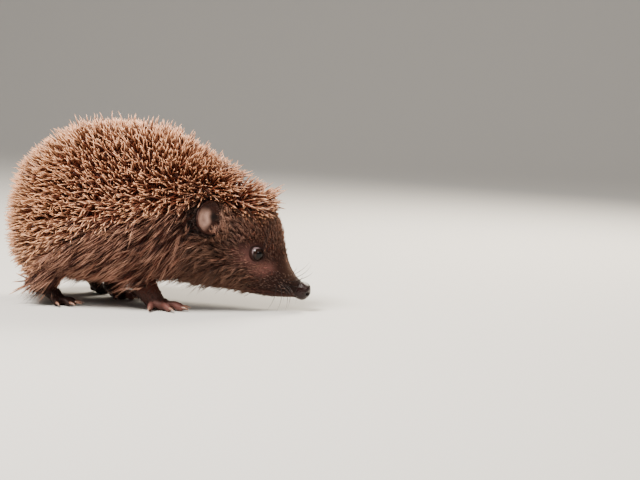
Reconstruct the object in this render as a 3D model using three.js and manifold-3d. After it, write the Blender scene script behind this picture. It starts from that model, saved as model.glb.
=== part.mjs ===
// A young European hedgehog at life size, standing in mid-step with its nose held low.
// Millimetres, +X towards the nose, +Y to the animal's left, +Z up. The origin is on the floor,
// under the middle of the animal. Every outline is the outside of the coat: the tips of the
// spines on the back and crown, and the tips of the fur below them.
import * as THREE from "three";
import { mergeVertices } from "three/addons/utils/BufferGeometryUtils.js";
import Module from "manifold-3d";

const wasm = await Module();
wasm.setup();

// ---------------------------------------------------------------- driving dimensions
const LENGTH = 161; // nose tip to the tips of the rump spines
const HEIGHT = 98; // floor to the tips of the highest back spines
const WIDTH = 86; // across the spines at the widest part of the back
const HEAD = 58.1; // pivot of the head, between the ears, to the nose tip
const HEAD_DROP = 25; // degrees that the head's axis points below the level
const HEAD_AT = { x: 29.4, z: 36 }; // the pivot of the head
const SHOULDER = { x: 6, z: 40, lean: 15 }; // where the trunk ends and the neck begins
const GAP = 0.3; // thin cut between neighbouring pieces
const REACH = 400; // side of the boxes that cut, larger than the animal

const EYE = { radius: 4, along: 23.6, up: 5.2, out: 14, forward: 24, raised: 8 };
const EAR = {
  along: -5.6, up: 12, out: 27.2, long: 7.8, deep: 4.8, tall: 9.6, wall: 1.3, turns: [14, 18, 30],
};
const TAIL = { x: -63, z: 17, length: 14, drop: 42, root: 3.1, middle: 2.3, tip: 1.5 };
const CLAW = { root: 0.85, middle: 0.72, point: 0.28, rise: 0.4, bend: 0.62, fan: 0.9 };
const MOUTH = { back: 27, backUp: -13.5, front: 48, frontUp: -8.2 }; // the lip line, in the head's frame

// Outline of the trunk, nape and crown, from the rump to the brow: percent of LENGTH from the
// middle, then percent of HEIGHT for the crest, the underside and the widest line, then percent
// of half the WIDTH.
const COAT = [
  { at: -50.0, crest: 45, under: 45, girth: 45, wide: 0 }, // rump
  { at: -49.0, crest: 61.5, under: 28.5, girth: 43, wide: 38 },
  { at: -45.6, crest: 78, under: 12.6, girth: 40, wide: 66 }, // haunch
  { at: -39.8, crest: 88.3, under: 7.8, girth: 38, wide: 84 },
  { at: -31.1, crest: 96, under: 7.4, girth: 38, wide: 95 },
  { at: -19.9, crest: 100, under: 10.2, girth: 39, wide: 100 }, // top of the back
  { at: -5.0, crest: 99.2, under: 11.6, girth: 41, wide: 98 },
  { at: 4.6, crest: 95.4, under: 12.5, girth: 43, wide: 92 }, // shoulder
  { at: 13.7, crest: 87.2, under: 21, girth: 46, wide: 82 }, // nape
  { at: 23.6, crest: 78.8, under: 32, girth: 49, wide: 69 },
  { at: 33.5, crest: 71.6, under: 40, girth: 53, wide: 52 }, // crown
  { at: 38.8, crest: 66.6, under: 46, girth: 55, wide: 33 },
  { at: 40.8, crest: 60.5, under: 60.5, girth: 60.5, wide: 0 }, // brow
];

// Outline of the neck and head along the head's axis, from inside the shoulders to the nose tip:
// millimetres along the axis and above it. tilt is the share of HEAD_DROP that the section leans.
const FACE = [
  { along: -40, tilt: 0, top: 30, under: -32, girth: 0, wide: 28 },
  { along: -17, tilt: 0.55, top: 32, under: -30, girth: -3, wide: 30 },
  { along: 0, tilt: 1, top: 31, under: -28, girth: -5, wide: 26.5 }, // between the ears
  { along: 13, tilt: 1, top: 29.6, under: -22, girth: -4, wide: 21.8 }, // cheek
  { along: 21, tilt: 1, top: 27, under: -18.2, girth: -3, wide: 18.6 },
  { along: 27, tilt: 1, top: 22.6, under: -16.5, girth: -3, wide: 15.6 }, // eyes
  { along: 34, tilt: 1, top: 13.8, under: -14.9, girth: -3.6, wide: 12 },
  { along: 40, tilt: 1, top: 7.4, under: -13, girth: -4, wide: 8.8 }, // muzzle
  { along: 46, tilt: 1, top: 3, under: -10.4, girth: -4.2, wide: 6.2 },
  { along: 51.5, tilt: 1, top: 1.3, under: -8.2, girth: -3.8, wide: 4.8 },
  { along: 55.6, tilt: 1, top: 0.2, under: -7.2, girth: -3.6, wide: 4.1 }, // nose
  { along: HEAD, tilt: 1, top: -3.7, under: -3.7, girth: -3.7, wide: 0 },
];

// Lower edge of the spines along each side: percent of LENGTH from the middle, percent of HEIGHT.
const FRINGE = [
  [-60, 12], [-46, 15], [-40, 19], [-32, 30], [-20, 40], [-4, 46], [9, 52], [16, 59], [21, 60],
  [26, 55], [31, 50.5], [35, 49.5], [38.5, 53], [41, 58], [50, 62],
];

// The four legs. x and y are the middle of the sole laid flat, turn is the foot's heading in
// degrees and heel is how far the sole is pitched up off the floor behind the toes. hip is where
// the leg goes into the body and knee is its middle. Toe 1 is the innermost one. fan gives each
// toe's heading away from the foot's own, outwards, and roots how far it starts ahead of toeAt and
// inwards of the foot's middle.
const FORE = {
  name: "fore", sole: [7.8, 6.4, 3.3], toeAt: 3.6, toes: [6.4, 8.8, 9.4, 8.6, 7], toeR: 1.7,
  fan: [-48, -18, 4, 32, 75], roots: [[-4, 3.2], [0, 1.6], [0.6, -0.3], [-1.5, -2.4], [-5.5, -3.4]],
  claw: 4.8, ankle: -3.5, legR: [9, 7.2, 5.5],
};
const HIND = {
  name: "hind", sole: [10.5, 6.2, 3.3], toeAt: 7, toes: [4.6, 7.2, 7.8, 7.4, 5.4], toeR: 1.6,
  fan: [-42, -16, 2, 20, 48], roots: [[-2.5, 3.2], [0, 1.6], [0.5, 0], [0, -1.7], [-2.5, -3.3]],
  claw: 4.6, ankle: -5.5, legR: [11, 7.8, 5.8],
};
const LEGS = [
  {
    kind: FORE, side: "right", x: 3.5, y: -21, turn: -12, heel: 24,
    hip: [-6, -20, 27], knee: [-5, -21, 15],
  },
  {
    kind: FORE, side: "left", x: -27.5, y: 11, turn: -8, heel: 50,
    hip: [-16, 16.5, 27], knee: [-22, 13.5, 17],
  },
  {
    kind: HIND, side: "right", x: -55, y: -22, turn: -8, heel: 40,
    hip: [-46, -21, 30], knee: [-51, -22, 21],
  },
  {
    kind: HIND, side: "left", x: -45, y: 21, turn: 42, heel: 60,
    hip: [-40, 20, 30], knee: [-42, 21, 21],
  },
];
// A toe's arch: how high its middle and tip lie and how thick it is, in radii of the toe, with
// first the most that its root lies ahead of the foot and knuckle the share along it.
const TOE = { high: 1.6, low: 0.6, first: 2, knuckle: 0.6, radii: [1.15, 1.1, 0.85] };
const SOLE = 2.2; // height of the middle of the sole's pad, laid flat
const ANKLE = 5.8; // height of the cut between leg and foot
const LIFT = 0.55; // height of a claw's point over the floor

// ---------------------------------------------------------------- materials
const finish = (color, roughness) => new THREE.MeshStandardMaterial({ color, roughness, metalness: 0 });
const SPINES = finish(0xa57a5f, 0.75);
const FUR = finish(0x5b3f33, 0.9);
const FACE_FUR = finish(0x37231d, 0.85);
const SKIN = finish(0x5a4036, 0.6);
const EAR_SKIN = finish(0x8a6f66, 0.7);
const NOSE = finish(0x14100f, 0.25);
const EYEBALL = finish(0x0b0909, 0.05);
const HORN = finish(0xb79a80, 0.4);

// ---------------------------------------------------------------- solids
const radians = THREE.MathUtils.degToRad;

// A smooth curve through one value of each station. Past a closed end a width turns negative and
// a place comes back, so the end is round.
function through(stations, key, odd) {
  const values = stations.map((s) => s[key]);
  const last = values.length - 1;
  const at = (i) => {
    if (i >= 0 && i <= last) return values[i];
    const [end, inner] = i < 0 ? [values[0], values[1]] : [values[last], values[last - 1]];
    return odd ? 2 * end - inner : inner;
  };
  return (u) => {
    const i = Math.min(last - 1, Math.floor(u));
    const t = u - i;
    const [a, b, c, d] = [at(i - 1), at(i), at(i + 1), at(i + 2)];
    return b + 0.5 * t * (c - a + t * (2 * a - 5 * b + 4 * c - d + t * (3 * (b - c) + d - a)));
  };
}

// Joins rings of points, with a fan to the middle of the first and last ring, into one closed
// surface whose faces point out. The rings run anticlockwise seen from the last one.
function skinOver(rings, first, last) {
  const sides = rings[0].length;
  const points = [first, ...rings.flat(), last];
  const index = [];
  const at = (r, k) => 1 + r * sides + (k % sides);
  for (let k = 0; k < sides; k++) {
    index.push(0, at(0, k + 1), at(0, k));
    index.push(points.length - 1, at(rings.length - 1, k), at(rings.length - 1, k + 1));
    for (let r = 0; r + 1 < rings.length; r++) {
      index.push(at(r, k), at(r, k + 1), at(r + 1, k + 1));
      index.push(at(r, k), at(r + 1, k + 1), at(r + 1, k));
    }
  }
  const geometry = new THREE.BufferGeometry().setFromPoints(points);
  return geometry.setIndex(index);
}

// An oval's point at a turn from its side: squarer below than above.
function oval(turn, wide, up, down) {
  const [c, s] = [Math.cos(turn), Math.sin(turn)];
  const power = s > 0 ? 0.96 : 0.84;
  const bend = (v) => Math.sign(v) * Math.abs(v) ** power;
  return [wide * bend(c), (s > 0 ? up : down) * bend(s)];
}

// A body lofted through sections. Each section gives its middle, its lean in degrees, and how far
// it reaches up, down and to the side. grow makes it that much thicker all round.
function loft(section, from, to, steps, sides, grow) {
  const rings = [];
  for (let i = 0; i <= steps; i++) {
    const { x, z, lean, up, down, wide } = section(from + ((to - from) * i) / steps);
    if (up + down < 0.01) continue;
    const [cos, sin] = [Math.cos(radians(lean)), Math.sin(radians(lean))];
    rings.push(
      Array.from({ length: sides }, (_, k) => {
        const [side, rise] = oval((2 * Math.PI * k) / sides, wide + grow, up + grow, down + grow);
        return new THREE.Vector3(x + rise * sin, side, z + rise * cos);
      }),
    );
  }
  const end = (u, way) => {
    const { x, z, up, down } = section(u);
    return new THREE.Vector3(x + (up + down < 0.01 ? way * grow : 0), 0, z);
  };
  return solid(skinOver(rings, end(from, -1), end(to, 1)));
}

function coat(grow = 0) {
  const [at, crest, under, girth] = ["at", "crest", "under", "girth"].map((k) => through(COAT, k));
  const wide = through(COAT, "wide", true);
  const section = (u) => {
    const z = (HEIGHT * girth(u)) / 100;
    const up = (HEIGHT * crest(u)) / 100 - z;
    const down = z - (HEIGHT * under(u)) / 100;
    return { x: (LENGTH * at(u)) / 100, z, lean: 0, up, down, wide: (WIDTH * wide(u)) / 200 };
  };
  return loft(section, 0, COAT.length - 1, 2 * (COAT.length - 1), 32, grow);
}

// A point of the head's frame: along its axis, above it and out to the side.
function onHead(along, up, out = 0) {
  const [cos, sin] = [Math.cos(radians(HEAD_DROP)), Math.sin(radians(HEAD_DROP))];
  return new THREE.Vector3(HEAD_AT.x + along * cos + up * sin, out, HEAD_AT.z - along * sin + up * cos);
}

function face(grow = 0) {
  const [along, tilt, top, under, girth] = ["along", "tilt", "top", "under", "girth"].map((k) =>
    through(FACE, k),
  );
  const wide = through(FACE, "wide", true);
  const section = (u) => {
    const lean = HEAD_DROP * tilt(u);
    const rise = new THREE.Vector3(Math.sin(radians(lean)), 0, Math.cos(radians(lean)));
    const axis = onHead(along(u), 0);
    axis.z = Math.min(axis.z, HEAD_AT.z + 8); // the neck levels out inside the shoulders
    const middle = axis.addScaledVector(rise, girth(u));
    const [up, down] = [top(u) - girth(u), girth(u) - under(u)];
    return { x: middle.x, z: middle.z, lean, up, down, wide: wide(u) };
  };
  return loft(section, 0, FACE.length - 1, 2 * (FACE.length - 1), 24, grow);
}

// A round tube along a curve whose radius runs through the given ones. Its ends are round, or
// plain points on the thinnest tubes.
function limb(points, radii, { steps = 8, sides = 12, grow = 0 } = {}) {
  const curve = new THREE.CatmullRomCurve3(points.map((p) => new THREE.Vector3(...p)));
  const { normals, binormals } = curve.computeFrenetFrames(steps);
  const radius = through(radii.map((r) => ({ r: r + grow })), "r", true);
  const spot = (u) => curve.getPoint(THREE.MathUtils.clamp(u, 0, 1));
  const ring = (middle, r, i) =>
    Array.from({ length: sides }, (_, k) => {
      const turn = (2 * Math.PI * k) / sides;
      return middle
        .clone()
        .addScaledVector(normals[i], r * Math.cos(turn))
        .addScaledVector(binormals[i], r * Math.sin(turn));
    });
  const rings = [];
  const radiusAt = (i) => radius((i / steps) * (radii.length - 1));
  for (let i = 0; i <= steps; i++) rings.push(ring(spot(i / steps), radiusAt(i), i));
  const cap = (i, way) => {
    const r = radiusAt(i);
    const ahead = curve.getTangent(i / steps).multiplyScalar(way * r);
    const shoulder = ring(spot(i / steps).addScaledVector(ahead, 0.6), 0.8 * r, i);
    return [shoulder, spot(i / steps).add(ahead)];
  };
  const [[firstRing, first], [lastRing, last]] = [cap(0, -1), cap(steps, 1)];
  const all = sides > 6 ? [firstRing, ...rings, lastRing] : rings;
  return solid(skinOver(all, first, last));
}

// A ball with three half-axes, turned and moved by a matrix.
function ball(halves, matrix, [across, along] = [14, 8]) {
  return solid(new THREE.SphereGeometry(1, across, along).scale(...halves).applyMatrix4(matrix));
}

// The half of space on one side of a plane, as a large box.
function half(point, towards, back = 0) {
  const way = towards.clone().normalize();
  const turn = new THREE.Quaternion().setFromUnitVectors(new THREE.Vector3(0, 0, 1), way);
  const middle = point.clone().addScaledVector(way, REACH / 2 + back);
  const matrix = new THREE.Matrix4().compose(middle, turn, new THREE.Vector3(1, 1, 1));
  return solid(new THREE.BoxGeometry(REACH, REACH, REACH).applyMatrix4(matrix));
}

// Everything above or below a line in the side view.
function beside(line, above, shift) {
  const far = above ? REACH : -REACH;
  const edge = line.map(([x, z]) => new THREE.Vector2(x, z + shift));
  const corners = [edge.at(-1), edge[0]].map((p) => new THREE.Vector2(p.x, far));
  const shape = new THREE.Shape([...edge, ...corners]);
  const slab = new THREE.ExtrudeGeometry(shape, { depth: REACH, bevelEnabled: false, steps: 1 });
  return solid(slab.rotateX(Math.PI / 2).translate(0, REACH / 2, 0));
}

function fringe() {
  const curve = new THREE.SplineCurve(
    FRINGE.map(([at, high]) => new THREE.Vector2((LENGTH * at) / 100, (HEIGHT * high) / 100)),
  );
  return curve.getPoints(3 * (FRINGE.length - 1)).map((p) => [p.x, p.y]);
}

// A closed mesh as a solid that can be joined and cut.
function solid(geometry) {
  const bare = new THREE.BufferGeometry().setAttribute("position", geometry.getAttribute("position"));
  if (geometry.index) bare.setIndex(geometry.index);
  const merged = mergeVertices(bare, 1e-4);
  const vertProperties = new Float32Array(merged.attributes.position.array);
  return new wasm.Manifold(
    new wasm.Mesh({ numProp: 3, vertProperties, triVerts: new Uint32Array(merged.index.array) }),
  );
}

function meshOf(name, body, material) {
  const { vertProperties, triVerts } = body.getMesh();
  const geometry = new THREE.BufferGeometry();
  geometry.setAttribute("position", new THREE.BufferAttribute(vertProperties, 3));
  geometry.setIndex(new THREE.BufferAttribute(triVerts, 1));
  geometry.computeVertexNormals();
  const mesh = new THREE.Mesh(geometry, material);
  mesh.name = name;
  return mesh;
}

const joined = (parts) => parts.reduce((a, b) => a.add(b));

// ---------------------------------------------------------------- the head's own small parts
const SIDES = [["right", -1], ["left", 1]];

function eyeMatrix(side) {
  const turn = new THREE.Euler(radians(EYE.raised) * side, 0, -radians(EYE.forward) * side, "ZYX");
  return new THREE.Matrix4().compose(
    onHead(EYE.along, EYE.up, EYE.out * side),
    new THREE.Quaternion().setFromEuler(turn),
    new THREE.Vector3(1, 1, 1),
  );
}

const eyeball = (side, grow = 0) => {
  const r = EYE.radius + grow;
  return ball([r, r, r], eyeMatrix(side));
};

// An ear is a round cup that opens outwards and forwards.
function earMatrix(side) {
  const [raised, back, forward] = EAR.turns.map(radians);
  const turn = new THREE.Euler(raised * side, back, -forward * side, "ZYX");
  return new THREE.Matrix4().compose(
    onHead(EAR.along, EAR.up, EAR.out * side),
    new THREE.Quaternion().setFromEuler(turn),
    new THREE.Vector3(1, 1, 1),
  );
}

function ear(side, grow = 0) {
  const outer = ball([EAR.long + grow, EAR.deep + grow, EAR.tall + grow], earMatrix(side));
  if (grow) return outer;
  const moved = earMatrix(side).multiply(new THREE.Matrix4().makeTranslation(0, EAR.deep * 0.75 * side, 0));
  const hollow = ball([EAR.long - EAR.wall, EAR.deep, EAR.tall - EAR.wall], moved);
  return outer.subtract(hollow);
}

function tail(grow = 0) {
  const [cos, sin] = [Math.cos(radians(TAIL.drop)), Math.sin(radians(TAIL.drop))];
  const spot = (share) => [TAIL.x - TAIL.length * share * cos, 0, TAIL.z - TAIL.length * share * sin];
  const radii = [TAIL.root, TAIL.middle, TAIL.tip];
  return limb([spot(0), spot(0.5), spot(1)], radii, { steps: 4, sides: 8, grow });
}

// ---------------------------------------------------------------- feet, in their own frame
// A foot points along +X with its toes on z = 0. out is +1 on the left side and -1 on the right.
const toeRoot = (kind, k, out) => [kind.toeAt + kind.roots[k][0], -kind.roots[k][1] * out];

function toe(kind, k, out, grow = 0) {
  const turn = radians(kind.fan[k]) * out;
  const [rootX, rootY] = toeRoot(kind, k, out);
  const spot = (far, up) => [rootX + far * Math.cos(turn), rootY + far * Math.sin(turn), up];
  const [long, r] = [kind.toes[k], kind.toeR];
  return limb(
    [
      spot(Math.min(TOE.first, long / 3), TOE.high * r),
      spot(TOE.knuckle * long, TOE.high * r),
      spot(long, TOE.low * r),
    ],
    TOE.radii.map((share) => share * r),
    { steps: 2, sides: 6, grow },
  );
}

function claw(kind, k, out) {
  const [at, turn] = [radians(kind.fan[k]) * out, radians(CLAW.fan * kind.fan[k]) * out];
  const [tip, long, r] = [kind.toes[k], kind.claw, kind.toeR];
  const [rootX, rootY] = toeRoot(kind, k, out);
  const root = [rootX + tip * Math.cos(at), rootY + tip * Math.sin(at)];
  const spot = (far, up) => [root[0] + far * Math.cos(turn), root[1] + far * Math.sin(turn), up];
  return limb(
    [spot(0, r + CLAW.rise), spot(CLAW.bend * long, r), spot(long, LIFT + CLAW.point)],
    [CLAW.root, CLAW.middle, CLAW.point],
    { steps: 2, sides: 5 },
  );
}

const footMatrix = (leg) => {
  const matrix = new THREE.Matrix4().makeRotationZ(radians(leg.turn));
  return matrix.setPosition(leg.x, leg.y, 0);
};

// Pitches the sole up about the roots of the toes.
const heelMatrix = (leg) => {
  const root = new THREE.Matrix4().makeTranslation(leg.kind.toeAt, 0, SOLE);
  const back = new THREE.Matrix4().makeTranslation(-leg.kind.toeAt, 0, 0);
  return root.multiply(new THREE.Matrix4().makeRotationY(radians(leg.heel))).multiply(back);
};

// A whole leg from the hip to the toes, in the frame of its foot and without the claws.
function legAndFoot(leg, out) {
  const { kind } = leg;
  const back = footMatrix(leg).invert();
  const [hip, knee] = [leg.hip, leg.knee].map((p) => new THREE.Vector3(...p).applyMatrix4(back).toArray());
  const ankle = new THREE.Vector3(kind.ankle, 0, 0).applyMatrix4(heelMatrix(leg)).toArray();
  const shank = limb([hip, knee, ankle], kind.legR, { steps: 5, sides: 12 });
  const sole = ball(kind.sole, heelMatrix(leg));
  const floor = half(new THREE.Vector3(), UP);
  return joined([shank, sole, ...kind.toes.map((_, k) => toe(kind, k, out))]).intersect(floor);
}

// ---------------------------------------------------------------- the whole, parted by thin cuts
const FORWARD = new THREE.Vector3(Math.cos(radians(SHOULDER.lean)), 0, -Math.sin(radians(SHOULDER.lean)));
const AXIS = onHead(1, 0).sub(onHead(0, 0));
const UP = new THREE.Vector3(0, 0, 1);
const CUTS = {
  shoulder: [new THREE.Vector3(SHOULDER.x, 0, SHOULDER.z), FORWARD],
  ears: [onHead(-9.5, 0), AXIS],
  muzzle: [onHead(35, 0), AXIS],
  nose: [onHead(52.4, 0), AXIS],
};
const after = (cut) => half(...CUTS[cut], GAP / 2);
const before = (cut) => half(CUTS[cut][0], CUTS[cut][1].clone().negate(), GAP / 2);

const headSolid = face();
const whole = coat().add(headSolid);
const line = fringe();
const spiny = beside(line, true, GAP / 2);
const furry = beside(line, false, -GAP / 2);

const lipLine = [
  onHead(MOUTH.back - 12, MOUTH.backUp - 3), onHead(MOUTH.back, MOUTH.backUp),
  onHead(MOUTH.front, MOUTH.frontUp), onHead(MOUTH.front + 8, MOUTH.frontUp + 2),
].map((p) => [p.x, p.z]);
const underLip = (grow) =>
  half(onHead(MOUTH.back - grow, 0), AXIS)
    .intersect(half(onHead(MOUTH.front + grow, 0), AXIS.clone().negate()))
    .intersect(beside(lipLine, false, grow - GAP));
const jaw = headSolid.intersect(underLip(0));
const jawRoom = underLip(GAP);

const eyeRooms = joined(SIDES.map(([, side]) => eyeball(side, GAP)));
const earRooms = joined(SIDES.map(([, side]) => ear(side, GAP)));
const tailRoom = tail(GAP);

const trunk = whole.intersect(before("shoulder")).subtract(tailRoom);
const neck = whole.intersect(after("shoulder")).intersect(before("ears")).subtract(earRooms);
const crown = coat().intersect(after("ears")).intersect(spiny).subtract(face(GAP)).subtract(earRooms);
const skull = headSolid.intersect(after("ears")).intersect(before("muzzle"));
const snout = headSolid.intersect(after("muzzle")).intersect(before("nose"));

const hedgehog = new THREE.Group();
hedgehog.add(
  meshOf("trunk_back", trunk.intersect(spiny), SPINES),
  meshOf("trunk_flanks", trunk.intersect(furry), FUR),
  meshOf("neck_nape", neck.intersect(spiny), SPINES),
  meshOf("neck_throat", neck.intersect(furry), FUR),
  meshOf("head_crown", crown, SPINES),
  meshOf("head_face", skull.subtract(eyeRooms).subtract(earRooms).subtract(jawRoom), FACE_FUR),
  meshOf("head_muzzle", snout.subtract(jawRoom), FACE_FUR),
  meshOf("head_jaw", jaw, FACE_FUR),
  meshOf("head_nose", headSolid.intersect(after("nose")), NOSE),
  meshOf("tail", tail(), SKIN),
);
for (const [name, side] of SIDES) {
  hedgehog.add(meshOf("eye_" + name, eyeball(side), EYEBALL), meshOf("ear_" + name, ear(side), EAR_SKIN));
}

const bodyRoom = coat(GAP).add(face(GAP));
const underAnkle = half(new THREE.Vector3(0, 0, ANKLE), UP.clone().negate());
const overAnkle = half(new THREE.Vector3(0, 0, ANKLE + GAP), UP);
for (const leg of LEGS) {
  const { kind, side } = leg;
  const out = side === "left" ? 1 : -1;
  const limbs = legAndFoot(leg, out);
  const foot = new THREE.Group();
  foot.applyMatrix4(footMatrix(leg));
  foot.add(meshOf(kind.name + "foot_" + side, limbs.intersect(underAnkle), SKIN));
  kind.toes.forEach((_, k) => {
    const horn = claw(kind, k, out).subtract(toe(kind, k, out, GAP));
    foot.add(meshOf(kind.name + "claw_" + side + "_" + (k + 1), horn, HORN));
  });
  const upper = solid(meshOf("", limbs.intersect(overAnkle)).geometry.applyMatrix4(footMatrix(leg)));
  hedgehog.add(foot, meshOf(kind.name + "leg_" + side, upper.subtract(bodyRoom), FUR));
}

export default hedgehog;
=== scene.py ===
# A young European hedgehog at life size, caught in mid-step: one skin over the whole body,
# thousands of banded spines on the back and crown, coarse hanging fur on the flanks and throat,
# short fur on the face and legs. Sizes are millimetres until a mesh is made, arrays of points
# hold a point in each row, and a side is -1 on the animal's right and 1 on its left.
import bpy
import bmesh
import numpy as np
from itertools import product
from math import cos, dist, pi, radians, sin
from mathutils import Matrix, Quaternion, Vector
from mathutils.bvhtree import BVHTree


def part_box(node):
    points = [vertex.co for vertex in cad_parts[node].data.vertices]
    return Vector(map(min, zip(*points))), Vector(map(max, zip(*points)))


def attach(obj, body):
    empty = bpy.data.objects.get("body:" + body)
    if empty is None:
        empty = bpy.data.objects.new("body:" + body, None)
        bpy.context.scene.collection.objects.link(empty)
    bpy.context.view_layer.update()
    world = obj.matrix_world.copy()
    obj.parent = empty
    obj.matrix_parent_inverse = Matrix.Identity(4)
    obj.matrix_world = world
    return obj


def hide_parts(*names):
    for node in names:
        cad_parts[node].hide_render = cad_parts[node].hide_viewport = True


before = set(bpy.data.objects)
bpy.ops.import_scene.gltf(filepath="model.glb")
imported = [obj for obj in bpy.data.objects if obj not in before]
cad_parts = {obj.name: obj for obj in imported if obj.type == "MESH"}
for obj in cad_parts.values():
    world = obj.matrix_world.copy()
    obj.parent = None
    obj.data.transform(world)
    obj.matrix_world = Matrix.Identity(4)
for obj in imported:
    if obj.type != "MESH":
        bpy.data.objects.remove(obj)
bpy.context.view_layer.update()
MM = 0.001
chance = np.random.default_rng(41)

# ---- driving sizes
HEAD_AT = (29.4, 0.0, 36.0)  # pivot of the head, between the ears
HEAD_DROP = 25  # degrees that the head's axis points below the level
VOXEL = 0.45  # grain of the skin where it is finest
COAT_HALF_WIDTH = 43.8  # how far out from the middle the tips of the coat may reach
NOSE_X = 60  # the muzzle and the nose lie ahead of this plane
SPINE = dict(radius=0.41, longest=19.0, shortest=7.0, spacing=1.13, sunk=0.5)
CLEAR = dict(spine=5.0, whisker=0.8, hair=0.6)  # least height of each kind's tips over the floor
PATCH = (0.0012, 0.003)  # a strand's patch on the skin's unwrap, half across and along
EYE_R = 4.0
LID_R = 3.45  # half the opening between the lids
LID = 0.62  # how thick the lids are

# Skin of the trunk and nape: x, top, underside, height of the widest line, half width.
TRUNK = [
    (-69.5, 44, 44, 44, 0), (-67, 58, 29, 43, 15), (-61.5, 69, 20, 41, 24), (-53, 77, 15, 39, 30),
    (-42, 83.5, 12.5, 38, 33.5), (-28, 86.5, 12.5, 39, 34.5), (-8, 86, 13.5, 40, 34),
    (8, 81.5, 15, 42, 31.5), (21, 74, 18, 44, 28), (32, 66, 25, 46, 24), (40, 55, 36, 46, 14),
    (42, 46, 46, 46, 0),
]
# Skin of the head along its axis: along, share of the drop, top, underside, widest line, half width.
FACE = [
    (-40, 0, 24, -24, 0, 0), (-38, 0, 24, -24, 0, 18), (-17, 0.55, 27, -24, -3, 26),
    (0, 1, 28.5, -23, -5, 24.2),
    (13, 1, 28, -19.5, -4, 20.2), (21, 1, 25.6, -17.4, -3, 17.4), (27, 1, 21.2, -16.6, -3, 14.6),
    (34, 1, 12.7, -15.2, -3.8, 11.4), (40, 1, 6.5, -13.2, -4.2, 8.6), (46, 1, 2.4, -10.6, -4.2, 6.0),
    (50, 1, 1.2, -8.6, -3.6, 4.6), (52.6, 1, 1.6, -8.2, -3.3, 4.8), (55.6, 1, 0.8, -7.4, -3.3, 4.3),
    (57.8, 1, -3.4, -3.4, -3.4, 0),
]
# Lower edge of the spines along each side, at their tips: x, z.
FRINGE = [
    (-97, 6), (-74, 7), (-64, 9.5), (-54, 20), (-32, 38), (-6, 45), (14, 51), (26, 58), (34, 58.8),
    (42, 54), (50, 49.5), (56, 48.5), (62, 52), (66, 57), (80, 61),
]
# Lower edge of the hanging fur: x, z.
HEM = [
    (-78, 16), (-73, 11.5), (-68, 7), (-62, 4), (-54, 2.2), (-48, 3), (-43, 7.5), (-38, 10), (-30, 11),
    (-18, 11), (-10, 8.8), (-4, 8.2), (4, 10.5), (14, 9), (25, 10), (48, 9.5),
]
# Feet: half size of the sole's pad, where the toes part from it, toe lengths and radius, their
# headings outwards, where each starts ahead and inwards, claw length, ankle, and radii of the leg.
FORE = dict(
    name="fore", sole=(7.8, 6.1, 3.1), toe_at=3.6, toes=(6.4, 8.8, 9.4, 8.6, 7.0), toe_r=1.65,
    fan=(-48, -18, 4, 32, 75), roots=((-4, 3.2), (0, 1.6), (0.6, -0.3), (-1.5, -2.4), (-5.5, -3.4)),
    claw=5.0, ankle=-3.5, leg_r=(8.7, 7.0, 5.2),
)
HIND = dict(
    name="hind", sole=(10.5, 5.9, 3.1), toe_at=7.0, toes=(4.6, 7.2, 7.8, 7.4, 5.4), toe_r=1.55,
    fan=(-42, -16, 2, 20, 48), roots=((-2.5, 3.2), (0, 1.6), (0.5, 0), (0, -1.7), (-2.5, -3.3)),
    claw=4.8, ankle=-5.5, leg_r=(10.6, 7.4, 5.5),
)
# Legs: where each foot stands, its heading, how far its heel is up, and the hip and knee.
LEGS = [
    dict(zip(("kind", "side", "at", "turn", "heel", "hip", "knee"), row)) for row in (
        (FORE, "right", (3.5, -21), -12, 24, (-6, -20, 27), (-5, -21, 15)),
        (FORE, "left", (-27.5, 11), -8, 50, (-16, 16.5, 27), (-22, 13.5, 17)),
        (HIND, "right", (-55, -22), -8, 40, (-46, -21, 30), (-51, -22, 21)),
        (HIND, "left", (-45, 21), 42, 60, (-40, 20, 30), (-42, 21, 21)),
    )
]
SOLE = 2.2  # height of the middle of a foot's pad, where the toes part from it
# Ears: their middle on the head, half sizes, thickness as a share of them, and turns in degrees.
EAR = dict(along=-5.0, up=12.5, out=25.6, long=7.9, deep=4.6, tall=9.4, wall=0.115, turns=(16, 20, 38))
EAR_ROOM = np.array([EAR["long"], EAR["deep"] + 1, EAR["tall"]])
TAIL = dict(root=(-61, 0, 19), tip=(-72.5, 0, 8.6), radii=(3.0, 2.3, 1.5))
LIPS = dict(back=(24, -13.6), front=(52, -7.4), half=0.55, depth=0.75)  # ends, along and up
# Camera: what it looks at and how far from it, in metres; its turns in degrees; its lens.
CAMERA = dict(aim=(0.0843, 0, 0.0379), far=0.9, turn=7, rise=6, roll=2, lens=96.8, sensor=36)
# Lamps: name, place and aim in metres, size, power and colour.
LAMPS = [
    ("key", (-0.28, -0.38, 0.78), (0, 0, 0.05), 0.35, 24, (1, 0.95, 0.88)),
    ("fill", (0.55, -0.6, 0.46), (0.03, 0, 0.04), 0.15, 2.0, (1, 0.97, 0.93)),
    ("rim", (0.25, 0.5, 0.5), (0, 0, 0.06), 0.4, 12, (1, 0.91, 0.76)),
]
WORD = {-1: "right", 1: "left"}


# ---- colours
def ink(code):
    """A named colour in linear light from its usual hex code."""
    parts = np.array([int(code[i : i + 2], 16) / 255 for i in (1, 3, 5)])
    return np.where(parts <= 0.04045, parts / 12.92, ((parts + 0.055) / 1.055) ** 2.4)


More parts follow.
